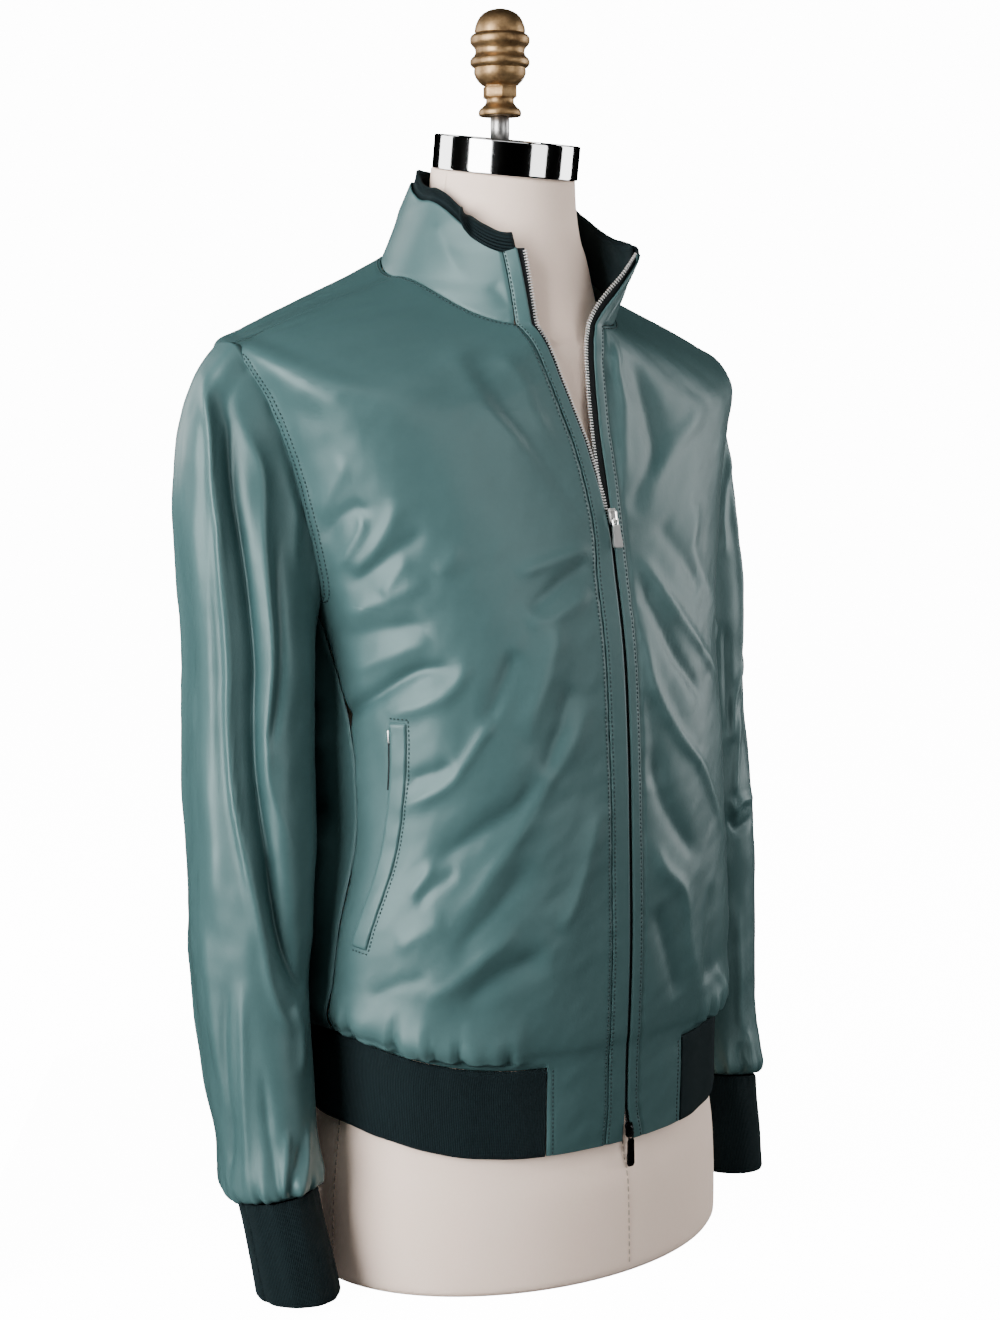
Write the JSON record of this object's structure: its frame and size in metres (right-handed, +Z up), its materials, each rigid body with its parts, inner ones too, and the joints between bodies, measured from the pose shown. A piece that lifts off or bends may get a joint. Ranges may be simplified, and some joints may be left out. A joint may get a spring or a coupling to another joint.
{
  "type": "leather zip jacket on a limbless dress form",
  "caption": "Hip-length zip jacket in smooth leather with knit collar, cuffs and hem, standing on a limbless cloth dress form with a metal neck cap and a turned knob.",
  "frame": {"origin": "on the floor, in the middle of the form's flat base, under its neck", "axes": "+Z up along the form's neck, -Y towards the open front, -X to the wearer's right"},
  "size_m": [0.5334, 0.2766, 0.9354],
  "materials": {
    "leather": "smooth, soft sheen, dark blue-green",
    "knit": "fine rib knit, matt, near-black green",
    "linen": "fine plain weave, matt, cream",
    "chrome": "polished",
    "steel": "plain",
    "brass": "aged, turned",
    "zip_tape": "woven tape with metal teeth",
    "nickel": "satin",
    "black_metal": "gloss black"
  },
  "bodies": {
    "jacket_on_form": {"back": "leather", "collar_knit": "knit", "collar_leather": "leather", "cuff_left": "knit", "cuff_right": "knit", "finial": "brass", "form_torso": "linen", "front_left": "leather", "front_right": "leather", "hem_knit": "knit", "neck_cap": "chrome", "placket_left": "leather", "placket_right": "leather", "post": "steel", "sleeve_left": "leather", "sleeve_right": "leather", "slider_bottom": "black_metal", "slider_top": "nickel", "welt_left": "leather", "welt_right": "leather", "zip_left": "zip_tape", "zip_right": "zip_tape"},
    "top_pull": {"pull_top": "nickel"},
    "bottom_pull": {"pull_bottom": "black_metal"}
  },
  "joints": [
    {"name": "top_pull_swing", "type": "hinge", "parent": "jacket_on_form", "child": "top_pull", "pos_m": [0.0006, -0.1233, 0.56068], "axis": [-1, 0, 0], "range_deg": [0, 115]},
    {"name": "bottom_pull_swing", "type": "hinge", "parent": "jacket_on_form", "child": "bottom_pull", "pos_m": [0.0012, -0.14424, 0.10662], "axis": [-1, 0, 0], "range_deg": [0, 115]}
  ]
}
